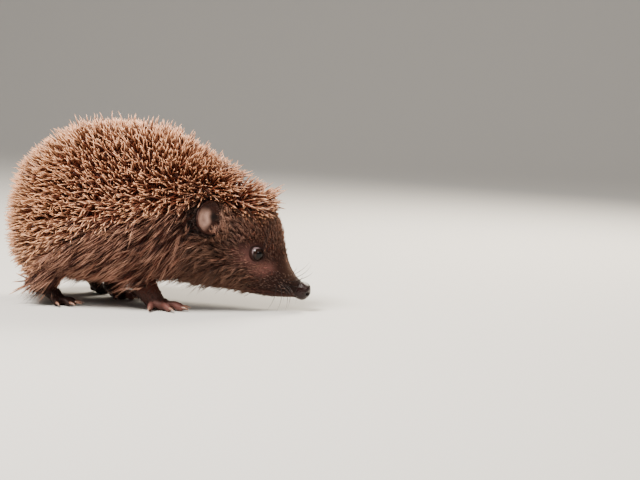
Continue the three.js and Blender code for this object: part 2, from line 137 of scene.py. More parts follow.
SPINE_ROOT = ink("#6a3422")
SPINE_SHAFT = ink("#7c513e")
SPINE_BAND = ink("#4c2415")
SPINE_TIP = ink("#ffbd90")
SPINE_GOLD = ink("#b08059")
FUR_MIDDLE = ink("#46190b")
FUR_TIP = ink("#f0b496")
CHOCOLATE = ink("#280c04")
NEAR_BLACK = ink("#120604")
# The inside of the ears' cups: painted shade under their rims and the spines, with some dark hair.
EAR_SHADE = ink("#2a140d")
BRISTLE = ink("#ab8a7c")
RED_SKIN = ink("#9c6860")
PALE_HAIR = ink("#8e634b")
EAR_PINK = ink("#b08b7c")
FOOT_SKIN = ink("#38211c")
TOE_PINK = ink("#64403a")
UNDERCOAT = ink("#34140a")
NOSE_BLACK = ink("#1c0b0a")
HORN_ROOT = ink("#6f4c42")
HORN = ink("#86604f")
HORN_TIP = ink("#a5836e")
EYE_DARK = ink("#040303")
EYE_BROWN = ink("#1c0f0a")
EYE_RIM = ink("#2a211f")
# Pale ring of the eyes: the white of the eye, with a painted reflection of the light above.
EYE_WHITE_AND_SHEEN = ink("#665759")


# ---- small helpers
def unit(v):
    return v / np.maximum(np.linalg.norm(v, axis=-1, keepdims=True), 1e-9)


def size_of(v):
    return np.linalg.norm(v, axis=-1)


def bell(x, width):
    return np.exp(-((x / width) ** 2))


def ramp(x, low, high):
    """0 below low, 1 above high and smooth between."""
    t = np.clip((x - low) / (high - low), 0, 1)
    return t * t * (3 - 2 * t)


def fall(x, low, high):
    return 1 - ramp(x, low, high)


def between(x, start, full, last, end):
    """0 up to the start, 1 from full to last, and 0 again from the end."""
    return ramp(x, start, full) * fall(x, last, end)


def mix(a, b, share):
    return a + (b - a) * np.asarray(share)[..., None]


def layered(colour, layers):
    """The colour with others laid over it in turn, each by its share."""
    for tone, share in layers:
        colour = mix(colour, tone, share)
    return colour


def curve_through(points, count):
    """Points evenly spread in order on a smooth curve through the given ones."""
    p = np.array(points, float)
    p = np.vstack([2 * p[0] - p[1], p, 2 * p[-1] - p[-2]])
    u = np.linspace(0, len(points) - 1, count) if np.isscalar(count) else count * (len(points) - 1)
    i = np.minimum(u.astype(int), len(points) - 2)
    t = (u - i)[:, None]
    a, b, c, d = p[i], p[i + 1], p[i + 2], p[i + 3]
    return b + 0.5 * t * (c - a + t * (2 * a - 5 * b + 4 * c - d + t * (3 * (b - c) + d - a)))


def on_head(along, up, out=0.0):
    """The point of the head's own frame: along its axis, above it, out to the animal's left."""
    c, s = cos(radians(HEAD_DROP)), sin(radians(HEAD_DROP))
    along, up, out = np.broadcast_arrays(along, up, out)
    return np.stack([HEAD_AT[0] + along * c + up * s, out, HEAD_AT[2] - along * s + up * c], -1)


def head_way(along, up, out=0.0):
    return on_head(along, up, out) - on_head(0, 0)


def to_head(p):
    c, s = cos(radians(HEAD_DROP)), sin(radians(HEAD_DROP))
    x, z = p[:, 0] - HEAD_AT[0], p[:, 2] - HEAD_AT[2]
    return x * c - z * s, x * s + z * c, p[:, 1]


def height_of(line, x):
    """Height of a line of x, z points at each x."""
    return np.interp(x, *np.array(line).T)


def mesh_from(name, bm):
    mesh = bpy.data.meshes.new(name)
    bm.to_mesh(mesh)
    bm.free()
    return mesh


def object_of(name, mesh):
    thing = bpy.data.objects.new(name, mesh)
    bpy.context.scene.collection.objects.link(thing)
    return thing


def read(rows, name, width, kind=np.float32):
    """What Blender's rows hold under a name, as an array with a row for each."""
    values = np.empty(len(rows) * width, kind)
    rows.foreach_get(name, values)
    return values.reshape(-1, width)


def points_of(mesh):
    return read(mesh.vertices, "co", 3).astype(float) / MM


def normals_of(mesh):
    return read(mesh.vertices, "normal", 3).astype(float)


def put_points(mesh, points):
    mesh.vertices.foreach_set("co", (points * MM).astype(np.float32).ravel())
    mesh.update()


def paint(mesh, name, colours):
    """A colour for each vertex, kept on the mesh under that name."""
    rgba = np.ones((len(mesh.vertices), 4), np.float32)
    rgba[:, :3] = np.clip(colours, 0, 1)
    mesh.color_attributes.new(name, "FLOAT_COLOR", "POINT").data.foreach_set("color", rgba.ravel())


def mask(mesh, name, values):
    layer = mesh.attributes.new(name, "FLOAT", "POINT")
    layer.data.foreach_set("value", np.asarray(values, np.float32))


def globe(around, along, place):
    """A closed mesh from a sphere, each point of which is put where place says from its share of
    the way from pole to pole and its turn about the axis."""
    bm = bmesh.new()
    bmesh.ops.create_uvsphere(bm, u_segments=around, v_segments=along, radius=1)
    mesh = mesh_from("form", bm)
    p = points_of(mesh) * MM
    share = np.arccos(np.clip(-p[:, 2], -1, 1)) / pi
    put_points(mesh, place(share, np.arctan2(p[:, 1], p[:, 0])))
    return mesh


def joined(name, meshes):
    bm = bmesh.new()
    for mesh in meshes:
        bm.from_mesh(mesh)
        bpy.data.meshes.remove(mesh)
    return mesh_from(name, bm)


def finished(thing):
    """The mesh with its modifiers worked in."""
    worked = thing.evaluated_get(bpy.context.evaluated_depsgraph_get())
    mesh, old = bpy.data.meshes.new_from_object(worked), thing.data
    thing.modifiers.clear()
    thing.data = mesh
    bpy.data.meshes.remove(old)
    return mesh


# ---- the skin's forms
def oval(turn, wide, up, down):
    """Out and up at a turn round an oval ring, which is a little squarer than an ellipse."""
    c, s = np.cos(turn), np.sin(turn)
    power = np.where(s > 0, 0.97, 0.86)
    rise = np.where(s > 0, up, down) * np.sign(s) * np.abs(s) ** power
    return wide * np.sign(c) * np.abs(c) ** power, rise


def trunk_form():
    def place(share, turn):
        x, top, under, girth, wide = curve_through(TRUNK, share).T
        side, rise = oval(turn, np.maximum(wide, 0), top - girth, girth - under)
        return np.stack([x, side, girth + rise], -1)

    return globe(72, 80, place)


def head_form():
    def place(share, turn):
        along, tilt, top, under, girth, wide = curve_through(FACE, share).T
        side, rise = oval(turn, np.maximum(wide, 0), top - girth, girth - under)
        lean = np.radians(HEAD_DROP * tilt)
        axis = on_head(along, 0)
        axis[:, 2] = np.minimum(axis[:, 2], HEAD_AT[2] + 8)
        high = girth + rise
        return axis + np.stack([high * np.sin(lean), side, high * np.cos(lean)], -1)

    return globe(64, 120, place)


def chain(points, radii):
    """Overlapping balls along a smooth curve, close enough to read as one rounded limb."""
    length = size_of(np.diff(curve_through(points, 40), axis=0)).sum()
    step = 0.28 * min(radii)
    count = max(4, int(length / step))
    spots, sizes = curve_through(points, count), curve_through([[r] for r in radii], count)[:, 0]
    bm = bmesh.new()
    for spot, size in zip(spots, sizes):
        turn = Matrix.Translation(Vector(spot * MM)) @ Matrix.Scale(size * MM, 4)
        bmesh.ops.create_icosphere(bm, subdivisions=2, radius=1, matrix=turn)
    return mesh_from("limb", bm)


def foot_frame(leg):
    """Where a foot stands, its heading, and which way is outwards."""
    return np.array([*leg["at"], 0.0]), radians(leg["turn"]), 1 if leg["side"] == "left" else -1


def in_foot(leg, points):
    """Points of a foot's own frame, which runs along its heading, brought into the animal's."""
    origin, turn, _ = foot_frame(leg)
    p = np.atleast_2d(points).astype(float)
    c, s = cos(turn), sin(turn)
    return origin + np.stack([p[:, 0] * c - p[:, 1] * s, p[:, 0] * s + p[:, 1] * c, p[:, 2]], -1)


def heel_up(leg, points):
    """Pitches points of the sole up about the roots of the toes."""
    p = np.atleast_2d(points).astype(float)
    c, s = cos(radians(leg["heel"])), sin(radians(leg["heel"]))
    x, z = p[:, 0] - leg["kind"]["toe_at"], p[:, 2]
    return np.stack([leg["kind"]["toe_at"] + x * c + z * s, p[:, 1], SOLE - x * s + z * c], -1)


def toe_line(leg, k):
    """The middle of a toe from its root to its tip, in the animal's frame."""
    kind, out = leg["kind"], foot_frame(leg)[2]
    turn, long, r = radians(kind["fan"][k]) * out, kind["toes"][k], kind["toe_r"]
    far = np.array([min(2, long / 3) - 1.5, 0.38 * long, 0.7 * long, long])
    high = np.array([1.7, 1.95, 1.55, 0.92]) * r
    ahead, inwards = kind["roots"][k]
    start = kind["toe_at"] + ahead
    return in_foot(leg, np.stack([start + far * cos(turn), far * sin(turn) - inwards * out, high], -1))


def foot_forms(leg):
    """The pad, the toes with the balls under their tips, and the leg up into the body."""
    kind, forms = leg["kind"], []
    long, wide, high = kind["sole"]

    def pad(share, turn):
        x = -long * np.cos(share * pi)
        ring = np.sin(share * pi)
        y, z = wide * ring * np.cos(turn), high * ring * np.sin(turn)
        taper = 1 - 0.28 * np.clip(-x / long, 0, 1)
        return in_foot(leg, heel_up(leg, np.stack([x, y * taper, z * taper], -1)))

    forms.append(globe(28, 20, pad))
    for k in range(5):
        r = kind["toe_r"]
        forms.append(chain(toe_line(leg, k), [1.1 * r, 0.95 * r, 1.08 * r, 0.84 * r]))
        root, tip = toe_line(leg, k)[[0, -1]]
        under = tip + (root - tip) * 0.16 - np.array([0, 0, 0.28 * r])
        forms.append(chain([under, under + (root - tip) * 0.16], [0.78 * r, 0.7 * r]))
    ankle = in_foot(leg, heel_up(leg, [kind["ankle"], 0, 0]))[0]
    forms.append(chain([leg["hip"], leg["knee"], ankle], kind["leg_r"]))
    return forms


def turned(side, turns):
    """Axes of a piece on the head's side: forwards, outwards and up, from its turns in degrees."""
    raised, back, forward = (radians(t) for t in turns)
    turn = Matrix.Rotation(-forward * side, 3, "Z") @ Matrix.Rotation(back, 3, "Y")
    return np.array(turn @ Matrix.Rotation(raised * side, 3, "X"))


def ear_middle(side):
    return on_head(EAR["along"], EAR["up"], EAR["out"] * side)


def ear_form(side):
    """A rounded cup of thin skin, open outwards and forwards, its rim rolled a little."""
    axes = turned(side, EAR["turns"])
    middle = ear_middle(side)
    lip = 0.62  # share of the way from the cup's back to its inside where the rim lies
    open_at = 0.56 * pi  # turn of the rim away from the back

    def place(share, turn):
        outside = share < lip
        reach = np.where(outside, share / lip, (1 - share) / (1 - lip)) * open_at
        size = np.where(outside, 1.0, 1 - EAR["wall"] * ramp(1 - share, 0, 0.06))
        ring, deep = np.sin(reach) * size, -np.cos(reach) * size
        narrow = 1 - 0.16 * np.sin(turn)
        ahead = EAR["long"] * ring * np.cos(turn) * narrow
        rise = EAR["tall"] * ring * np.sin(turn)
        out = EAR["deep"] * (deep + np.where(outside, 0, EAR["wall"] * 1.6)) * side
        return middle + np.stack([ahead, out, rise], -1) @ axes.T

    return globe(44, 44, place)


def relaxed(mesh, rounds):
    """Evens out the surface by moving each point towards the middle of its neighbours."""
    p = points_of(mesh)
    a, b = read(mesh.edges, "vertices", 2, np.int32).T
    to, other = np.r_[a, b], np.r_[b, a]
    degree = np.maximum(np.bincount(to, minlength=len(p)), 1)[:, None]
    pull = 0.6  # share of the way that a point goes in a round
    for _ in range(rounds):
        total = np.stack([np.bincount(to, p[other, i], len(p)) for i in range(3)], -1)
        p += pull * (total / degree - p)
    put_points(mesh, p)


def eye_of(side):
    """Middle of an eyeball and the way it looks."""
    low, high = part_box("eye_left" if side > 0 else "eye_right")
    look = unit(np.array([sin(radians(26)), side * cos(radians(26)), 0.15]))
    return np.array((low + high) / 2) / MM, look


def lip_at(along):
    lips = np.array([LIPS["back"], LIPS["front"]], float)
    arch = 0.8 * np.sin(np.clip((along - 24) / 28, 0, 1) * pi)
    return np.interp(along, lips[:, 0], lips[:, 1]) + arch


def from_sight(p, side):
    """How far points are out along an eye's line of sight, and the way to them from that line."""
    eye, look = eye_of(side)
    offset = p - eye
    deep = offset @ look
    return deep, offset - deep[:, None] * look


def round_eyes(p):
    """Distance from the line of sight of the nearer eye."""
    out = np.full(len(p), 1e3)
    for side in (-1, 1):
        deep, away = from_sight(p, side)
        out = np.minimum(out, np.where(deep > -EYE_R, size_of(away), 1e3))
    return out


def eye_plane(p, side):
    """Points as the eye sees them: forwards and up across its line of sight, and out along it."""
    eye, look = eye_of(side)
    ahead = head_way(1, 0)
    ahead = unit(ahead - look * (ahead @ look))
    rise = np.cross(look, ahead) * -side
    offset = p - eye
    return offset @ ahead, offset @ rise, offset @ look


def finer(mesh, chosen):
    """Splits the edges of the chosen part of the surface in two."""
    bm = bmesh.new()
    bm.from_mesh(mesh)
    bm.verts.ensure_lookup_table()
    picked = np.zeros(len(bm.verts), bool)
    picked[np.flatnonzero(chosen)] = True
    edges = [e for e in bm.edges if picked[e.verts[0].index] and picked[e.verts[1].index]]
    bmesh.ops.subdivide_edges(bm, edges=edges, cuts=1, use_grid_fill=True)
    bmesh.ops.triangulate(bm, faces=[f for f in bm.faces if len(f.verts) > 4])
    bm.to_mesh(mesh)
    bm.free()


def blob(p, middle, size):
    return np.exp(-((p - middle) ** 2).sum(1) / size**2)


def nostril(p, side):
    """1 in the middle of a nostril: a comma that opens forwards and curls out to the side."""
    along, up, out = to_head(p)
    reach = out * side - 2.6
    bent = up + 3.0 + 0.16 * reach**2
    front = ramp(along, 52.5, 54.0) * (p[:, 0] > NOSE_X)
    return np.exp(-((reach / 1.3) ** 2) - (bent / 0.75) ** 2) * front


def carve(mesh):
    """The folds of the face: lids that hug the eyes, the lip line, the nose pad and its nostrils."""
    p, n = points_of(mesh), normals_of(mesh)
    along, up, out = to_head(p)
    on_face = (along > 0) & (p[:, 0] > 30)
    over_lip, corner = up - lip_at(along), LIPS["back"][0]
    on_mouth = between(along, corner - 1, corner + 3, 50, 53) * on_face
    move = -LIPS["depth"] * bell(over_lip, LIPS["half"]) * on_mouth
    flews = bell(over_lip - 2.2, 1.6) * between(along, 36, 42, 48, 51)
    move += 0.5 * flews * on_face
    pad_edge = 50.2 + 0.06 * (up + 3.4) ** 2 * (up < -3.4)
    move -= 0.4 * bell(along - pad_edge, 0.55) * ramp(up, -9, -7) * on_face
    move -= 0.5 * bell(out, 0.35) * ramp(along, 53, 55) * ramp(-up, 2.0, 3.5) * on_face
    for side in (-1, 1):
        move += 0.35 * blob(p, on_head(54.4, -1.6, 3.2 * side), 1.3)
        move -= 1.8 * nostril(p, side)
        ahead, rise, deep = eye_plane(p, side)
        far = np.hypot(ahead, rise)
        turn = np.arctan2(rise, ahead)
        opening = LID_R * (0.97 + 0.1 * np.cos(2 * (turn + 0.65)) - 0.04 * np.sin(turn))
        front = (deep > -3) & (deep < 9) & (far < 9)
        for ring, size in ((7.4, 0.3), (9.2, 0.22)):
            move += size * bell(far - ring, 0.45) * ramp(rise, 1, 4) * front
        shell = np.sqrt(np.maximum(EYE_R**2 - far**2, 0))
        hug = np.sqrt(np.maximum((EYE_R + LID) ** 2 - np.minimum(far, 4.1) ** 2, 0))
        near = front * fall(far - opening, 0.7, 3.2)
        lid = deep + (np.maximum(hug, deep * 0.2) - deep) * near
        lid += 0.16 * bell(far - opening - 0.45, 0.3) * front
        lid -= 0.22 * bell(far - opening - 1.25, 0.3) * front
        drop = fall(far - opening, -0.45, 0.05)
        lid = np.where(front, np.minimum(lid, shell + LID - 4.2 * drop), lid)
        p = p + np.where(front, lid - deep, 0)[:, None] * eye_of(side)[1]
        move = np.where(front & (far < 6.2), 0, move)
    p = p + move[:, None] * n
    p[:, 2] = np.where(p[:, 2] < 0.3, 0.0, p[:, 2])  # what all but touches the floor rests on it
    put_points(mesh, p)


def skin_mesh():
    """All the forms under one surface, which is finer on the face, the ears and the feet."""
    forms = [trunk_form(), head_form(), ear_form(-1), ear_form(1)]
    forms.append(chain([TAIL["root"], TAIL["tip"]], TAIL["radii"]))
    for leg in LEGS:
        forms += foot_forms(leg)
    thing = object_of("skin", joined("skin", forms))
    cast = thing.modifiers.new("one surface", "REMESH")
    cast.mode, cast.voxel_size = "VOXEL", VOXEL * MM
    mesh = finished(thing)
    relaxed(mesh, 6)
    p = points_of(mesh)
    fine = np.maximum(ramp(to_head(p)[0], 14, 18) * (p[:, 0] > 30), fall(p[:, 2], 9, 11))
    for side in (-1, 1):
        fine = np.maximum(fine, fall(size_of(p - ear_middle(side)), 10, 12))
    coarse = thing.vertex_groups.new(name="coarse")
    for level in (0.0, 1.0):
        chosen = np.flatnonzero((fine < 0.5) == (level > 0)).tolist()
        coarse.add(chosen, level, "REPLACE")
    thin = thing.modifiers.new("fewer under the spines", "DECIMATE")
    thin.ratio, thin.vertex_group, thin.vertex_group_factor = 0.3, "coarse", 1.0
    mesh = finished(thing)
    thing.vertex_groups.clear()
    relaxed(mesh, 2)
    for size in (8.0, 5.6):
        p = points_of(mesh)
        finer(mesh, (round_eyes(p) < size) | ((to_head(p)[0] > 56 - size) & (p[:, 0] > NOSE_X)))
    carve(mesh)
    return thing


# ---- where each kind of coat grows
# Places are in millimetres: x, y and z on the body, and along, up and out on the head.
def near_to(p, middle, size, soft=0.5):
    """1 at a middle, 0 beyond an ellipsoid of that size about it."""
    far = size_of((p - np.asarray(middle)) / np.asarray(size))
    return fall(far, 1 - soft, 1 + soft)


def ear_place(p, side):
    """Points in an ear's own frame: forwards, towards the animal's left and up."""
    return (p - ear_middle(side)) @ turned(side, EAR["turns"])


def by_either_ear(p, of):
    """The larger of what a function gives for points' places in the frames of both ears."""
    return np.maximum(of(ear_place(p, -1)), of(ear_place(p, 1)))


def on_ears(p, grow=1.0):
    """1 in the room that each ear takes up, and as far round it as it grows."""
    return by_either_ear(p, lambda local: 1.0 * (size_of(local / (EAR_ROOM + grow)) < 1.06))


def by_ears(p, reach, soft=2.0):
    """1 on and close round the ears."""
    return by_either_ear(p, lambda local: fall(size_of(local * [1, 0.6, 1]), reach - soft, reach))


def over_fringe(p, n):
    """Height over the fringe of the tips of spines that would grow at these points."""
    return p[:, 2] + 9 * n[:, 2] - height_of(FRINGE, p[:, 0] + 5 * n[:, 0])


def nose_pad(p, start):
    """1 on the nose's bare pad, from that far along the head."""
    along, up, out = to_head(p)
    return ramp(along, start, start + 1) * (p[:, 0] > NOSE_X) * ramp(up, -9.5, -6.5)


def headness(p):
    """0 on the trunk and 1 on the head, over a soft line behind the ears."""
    along, up, out = to_head(p)
    legs = (p[:, 2] < 14) & (p[:, 0] < 26)
    return ramp(along + 0.25 * up, -12, 0) * (p[:, 0] > 14) * ~legs


def coat_flow(p, n):
    """The way the coat lies: back along the body, down the flanks, up the brow, back from the nose."""
    x, y, z = p.T
    along, up, out = to_head(p)
    drop = ramp(z - height_of(HEM, x), 0, 16)
    down = -0.68 * drop - 0.9 * ramp(-x, 50, 62)
    body = np.stack([-1 + 0.35 * ramp(x, -20, 24), 0.25 * np.sign(y) * drop, down], -1)
    lift = 0.5 * ramp(up, 0, 12) * between(along, 4, 18, 34, 44)
    sag = 0.75 * fall(up, -8, 8) * fall(along, 14, 34)
    head = head_way(-1, 0) + (lift - sag)[:, None] * head_way(0, 1)
    for side in (-1, 1):
        away = from_sight(p, side)[1]
        head = head + 0.9 * unit(away) * bell(size_of(away), 7)[:, None]
    share = headness(p)[:, None]
    flow = unit(body) * (1 - share) + unit(head) * share
    flow = mix(flow, np.array([-0.55, 0, -1.0]), fall(z, 9, 13) * (x < 20))
    return tangent(n, flow + 1e-4)


# ---- markings, shared by skin and coat
def markings(p):
    """The colour of the hair, and of the skin under it, at points of the body."""
    x, y, z = p.T
    along, up, out = to_head(p)
    head = headness(p)
    behind = head * fall(along, 10, 22) * ramp(up, -16, -4)
    trunk = np.tile(FUR_MIDDLE, (len(p), 1)) * (1 - 0.2 * ramp(x, -15, 25))[:, None]
    colour = layered(trunk, [
        (CHOCOLATE * 1.1, head),
        (FUR_MIDDLE * 0.8, 0.35 * behind),
        (CHOCOLATE * 0.75, fall(z, 9, 14) * (x < 20)),
        (FUR_MIDDLE, 0.9 * head * fall(along, -14, -9)),
    ])
    for leg in LEGS:
        shin = (np.array(leg["knee"]) + in_foot(leg, [0, 0, 0])[0]) / 2
        colour = mix(colour, CHOCOLATE * 0.6, near_to(p, shin, (9, 9, 10), 0.3))
    brow = head * between(along, 8, 14, 30, 40) * ramp(up, 6, 11)
    muzzle = 0.62 * ramp(along, 36, 46) * head
    colour = layered(colour, [(FUR_MIDDLE * 0.8, 0.55 * brow), (NEAR_BLACK, muzzle)])
    for side in (-1, 1):
        far = size_of(ear_place(p, side) * [1, 0.6, 1])
        # Nearly black round the back and top of each ear: partly the dark fur there and partly painted
        # shade in the hollow between the ear and the spines.
        hood = 0.9 * between(far, 3, 6, 8.6, 10.6) * (up > -1) * (along < 3)
        colour = layered(colour, [
            (NEAR_BLACK, 0.45 * near_to(p, on_head(12, 9, 20 * side), (7, 9, 7))),
            (NEAR_BLACK, hood),
            (RED_SKIN, 0.66 * near_to(p, on_head(30, -0.6, 13 * side), (4.8, 7, 3.2), 0.9)),
            (RED_SKIN * 0.7, 0.45 * near_to(p, on_head(20, 3, 17 * side), (6, 7, 5.5), 0.9)),
        ])
    bridge = bell(out, 5) * between(along, 18, 26, 42, 50) * (up > -2)
    chin = (up < lip_at(along) - 0.4) * between(along, 24, 30, 38, 44)
    return layered(colour, [
        (NEAR_BLACK, 0.75 * fall(round_eyes(p), 3.9, 4.5) * head),
        (PALE_HAIR, 0.4 * bridge),
        (RED_SKIN * 0.5, 0.2 * chin * head),
    ])


def bareness(p):
    """1 on naked skin: the ears, soles, toes, lids and nose; 0 under fur."""
    nose = ramp(to_head(p)[0], 49, 50.5) * (p[:, 0] > NOSE_X)
    feet, lids = fall(p[:, 2], 5.5, 9), fall(round_eyes(p), 4.6, 6)
    return np.maximum.reduce([feet, on_ears(p, 0.2), lids, nose])


def skin_colours(p, n):
    x, y, z = p.T
    low = fall(z, 7, 11)
    colour = layered(markings(p) * 0.62, [
        (UNDERCOAT, 1 - headness(p)),
        (UNDERCOAT, ramp(z - height_of(FRINGE, x), -4, 0) * (x < 66)),
        (FOOT_SKIN, low),
    ])
    # Pink toes on the forefeet; on the hind feet, under the body, the toes stay dark and the low skin
    # is darkened to 0.3: painted shade.
    for leg in LEGS:
        pink = 0.8 if leg["kind"] is FORE else 0.1
        for k in range(5):
            colour = mix(colour, TOE_PINK, pink * near_to(p, toe_line(leg, k)[-1], 5.5, 0.6))
    colour = mix(colour, colour * 0.3, low * (x < -20))
    for side in (-1, 1):
        local, faces = ear_place(p, side), n @ turned(side, EAR["turns"])
        radial = local / EAR_ROOM
        far, spoke = size_of(radial), unit(radial * [1, 0, 1])
        inwards = faces[:, 1] * side - 1.2 * (faces * spoke).sum(1)
        inside = ramp(inwards, 0.0, 0.6) * (far < 1.1)
        rear = near_to(local, (-2.2, 0, -1.5), (3.3, 9, 4.8), 0.5)
        canal_shade = near_to(local, (2.4, -side * 2.5, 1.2), (2.6, 5.0, 2.4), 0.6)
        # Inside its cup an ear is EAR_SHADE, painted shade under the rim and the spines with some dark
        # hair; its own pale pink skin shows only on the lower rear wall, and the dark spot over the
        # canal is painted shade in the opening.
        colour = layered(colour, [
            (CHOCOLATE * 0.8, far < 1.15),
            (EAR_SHADE, inside),
            (EAR_PINK, inside * rear),
            (NEAR_BLACK * 0.6, 0.97 * canal_shade),
        ])
    # Darker in the nostrils: painted shade in their openings.
    nostrils = np.clip(1.3 * (nostril(p, -1) + nostril(p, 1)), 0, 0.95)
    return layered(colour, [(NOSE_BLACK, nose_pad(p, 49.6)), (NEAR_BLACK * 0.5, nostrils)])


# ---- roots of the coat
def unwrap(thing):
    """The map from the skin to its unwrap, which the coat's strands share."""
    bpy.context.view_layer.objects.active = thing
    thing.select_set(True)
    thing.data.uv_layers.new(name="OFBake")
    bpy.ops.object.mode_set(mode="EDIT")
    bpy.ops.mesh.select_all(action="SELECT")
    bpy.ops.uv.smart_project(angle_limit=radians(66), island_margin=0.002, rotate_method="AXIS_ALIGNED")
    bpy.ops.object.mode_set(mode="OBJECT")
    thing.select_set(False)


class Ground:
    """The triangles of the skin, for choosing where hairs grow."""

    def __init__(self, mesh):
        mesh.calc_loop_triangles()
        corners = read(mesh.loop_triangles, "vertices", 3, np.int32)
        loops = read(mesh.loop_triangles, "loops", 3, np.int32)
        self.corners, self.normals = points_of(mesh)[corners], normals_of(mesh)[corners]
        self.uv = read(mesh.uv_layers["OFBake"].data, "uv", 2)[loops].astype(float)
        a, b, c = self.corners.transpose(1, 0, 2)
        self.area = size_of(np.cross(b - a, c - a)) / 2

    def roots(self, where, spacing):
        """Roots strewn over the chosen part of the skin, none nearer than the spacing to another."""
        tries = 6  # spots looked at for each square of the spacing
        chosen = self.area * np.clip(where(self.corners.mean(1), unit(self.normals.mean(1))), 0, 1)
        total = chosen.sum()
        pick = chance.choice(len(chosen), int(tries * total / spacing**2), p=chosen / total)
        u, v = np.sqrt(chance.random(len(pick))), chance.random(len(pick))
        share = np.stack([1 - u, u * (1 - v), u * v], -1)[:, :, None]
        p = (self.corners[pick] * share).sum(1)
        taken, first = {}, []
        for i, (cell, spot) in enumerate(zip(np.floor(p / spacing).astype(int).tolist(), p.tolist())):
            x, y, z = cell
            around = (taken.get((x + a, y + b, z + c), ()) for a, b, c in product((-1, 0, 1), repeat=3))
            if all(dist(spot, other) >= spacing for near in around for other in near):
                taken.setdefault((x, y, z), []).append(spot)
                first.append(i)
        n = unit((self.normals[pick] * share).sum(1))
        return p[first], n[first], (self.uv[pick] * share).sum(1)[first]

    def nearest(self, p):
        """The places on the unwrap of the triangles nearest to the points."""
        return self.uv.mean(1)[[np.argmin(((self.corners.mean(1) - q) ** 2).sum(1)) for q in p]]


def outer_tree():
    """The outside of the coat in the frame, for finding how long a spine may be."""
    points, faces, start = [], [], 0
    for name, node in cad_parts.items():
        if name.startswith(("trunk", "neck", "head")):
            points.append(points_of(node.data))
            faces += [[start + v for v in f.vertices] for f in node.data.polygons]
            start += len(points[-1])
    return BVHTree.FromPolygons(np.vstack(points).tolist(), faces)


def reach(tree, roots, ways, most):
    """How far from each root, along its way, the outside of the coat is."""
    out = np.full(len(roots), float(most))
    for i, (root, way) in enumerate(zip(roots.tolist(), ways.tolist())):
        start, way, far, last = Vector(root), Vector(way), 0.0, 0.0
        while far < most:
            hit, normal, _, step = tree.ray_cast(start + way * far, way, most - far)
            if hit is None or (last and step > 1.0 and normal.dot(way) < 0):
                break
            far += step + 0.02
            last = far
        out[i] = last or most
    return out


# ---- spines and hairs
def strand_shape(sides, rings):
    """A straight closed strand of unit size: its points across it, their shares of its length, and
    its faces."""
    bm = bmesh.new()
    bmesh.ops.create_cone(bm, cap_ends=True, segments=sides, radius1=1, radius2=1, depth=1)
    bmesh.ops.translate(bm, verts=bm.verts, vec=(0, 0, 0.5))
    for k in range(1, rings):
        everything = bm.verts[:] + bm.edges[:] + bm.faces[:]
        bmesh.ops.bisect_plane(bm, geom=everything, plane_co=(0, 0, k / rings), plane_no=(0, 0, 1))
    top = [v for v in bm.verts if v.co.z > 1 - 0.5 / rings]
    bmesh.ops.pointmerge(bm, verts=top, merge_co=(0, 0, 1))
    bmesh.ops.recalc_face_normals(bm, faces=bm.faces)
    bm.verts.index_update()
    points = np.array([v.co for v in bm.verts])
    faces = [[v.index for v in f.verts] for f in bm.faces]
    bm.free()
    return points[:, :2], points[:, 2], faces


def along_strand(share, stops, tones):
    """Colours at shares of a strand's length, between the tones that each strand has at the stops."""
    k = np.clip(np.searchsorted(stops, share, "right") - 1, 0, len(stops) - 2)
    t = (share - np.asarray(stops)[k]) / np.diff(stops)[k]
    return tones[:, k] + (tones[:, k + 1] - tones[:, k]) * t[None, :, None]


def grown(name, shape, profile, p, ways, bends, lengths, radii, uv, stops, tones):
    """One mesh of many strands. A strand runs from its root along its way and curves by its bend."""
    across, share, faces = shape
    count, each = len(p), len(share)
    side = unit(np.cross(ways, unit(chance.normal(size=(count, 3)))))
    other = np.cross(ways, side)
    thick = np.asarray(radii)[:, None] * np.interp(share, *profile)[None, :]
    s = share[None, :, None]
    co = p[:, None] + np.asarray(lengths)[:, None, None] * (ways[:, None] * s + bends[:, None] * s**2)
    co += (thick * across[None, :, 0])[..., None] * side[:, None]
    co += (thick * across[None, :, 1])[..., None] * other[:, None]
    sizes = np.array([len(f) for f in faces])
    loops = (np.concatenate(faces)[None] + each * np.arange(count)[:, None]).ravel().astype(np.int32)
    starts = np.cumsum(np.tile(sizes, count)) - np.tile(sizes, count)
    mesh = bpy.data.meshes.new(name)
    mesh.vertices.add(count * each)
    mesh.loops.add(len(loops))
    mesh.polygons.add(count * len(faces))
    mesh.loops.foreach_set("vertex_index", loops)
    mesh.polygons.foreach_set("loop_start", starts.astype(np.int32))
    put_points(mesh, co.reshape(-1, 3))
    patch = np.stack([PATCH[0] * across[:, 0], PATCH[1] * (share - 0.5)], -1)
    spread = (uv[:, None] + patch[None]).reshape(-1, 2)[loops]
    mesh.uv_layers.new(name="OFBake").data.foreach_set("uv", spread.astype(np.float32).ravel())
    paint(mesh, "coat", along_strand(share, stops, tones).reshape(-1, 3))
    mesh.update(calc_edges=True)
    mesh.shade_smooth()
    thing = object_of(name, mesh)
    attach(thing, "root")
    return thing


def tangent(n, way):
    """The part of a way that runs along the skin."""
    way = np.broadcast_to(way, n.shape)
    return unit(way - (way * n).sum(1, keepdims=True) * n)


def leaning(n, flow, angle, scatter, turn_scatter):
    """Ways that lean from the skin's normal by an angle in degrees along a flow, with scatter."""
    spin = np.radians(chance.normal(0, 1, len(n)) * turn_scatter)[:, None]
    flow = flow * np.cos(spin) + np.cross(n, flow) * np.sin(spin)
    lean = np.radians(np.clip(angle + chance.normal(0, 1, len(n)) * scatter, 2, 96))[:, None]
    return unit(n * np.cos(lean) + flow * np.sin(lean))


def uneven_by(spread, p):
    """How much lighter or darker each strand is than the rest."""
    return np.exp(chance.normal(0, spread, (len(p), 1)))


